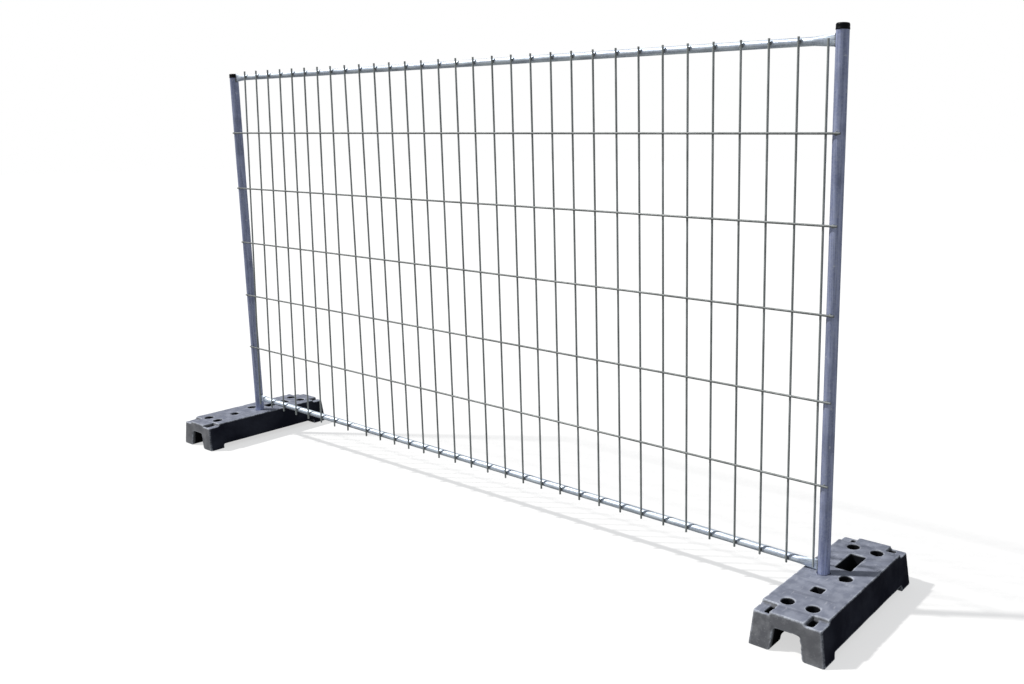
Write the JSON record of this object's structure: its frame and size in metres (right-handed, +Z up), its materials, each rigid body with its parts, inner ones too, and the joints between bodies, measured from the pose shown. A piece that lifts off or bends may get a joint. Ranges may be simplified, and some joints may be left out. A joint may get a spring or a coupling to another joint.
{
  "type": "temporary fence panel",
  "caption": "Free-standing temporary fence panel with galvanised tube posts and rails, welded wire infill and grey plastic feet.",
  "frame": {"origin": "on the floor, centre of the bounding box, midway between the posts and the feet's ends", "axes": "+X along the fence from the left post to the right post, +Y through the fence away from the wire side, +Z up"},
  "size_m": [3.8117, 0.686, 1.9567],
  "materials": {
    "post_steel": "satin",
    "rail_steel": "satin",
    "wire_steel": "satin",
    "cap_plastic": "matte",
    "foot_plastic": "matte"
  },
  "bodies": {
    "root": {"left_post": "post_steel", "right_post": "post_steel", "left_cap": "cap_plastic", "right_cap": "cap_plastic", "top_rail": "rail_steel", "bottom_rail": "rail_steel", "wire_mesh": "wire_steel", "left_foot": "foot_plastic", "right_foot": "foot_plastic"}
  },
  "joints": []
}
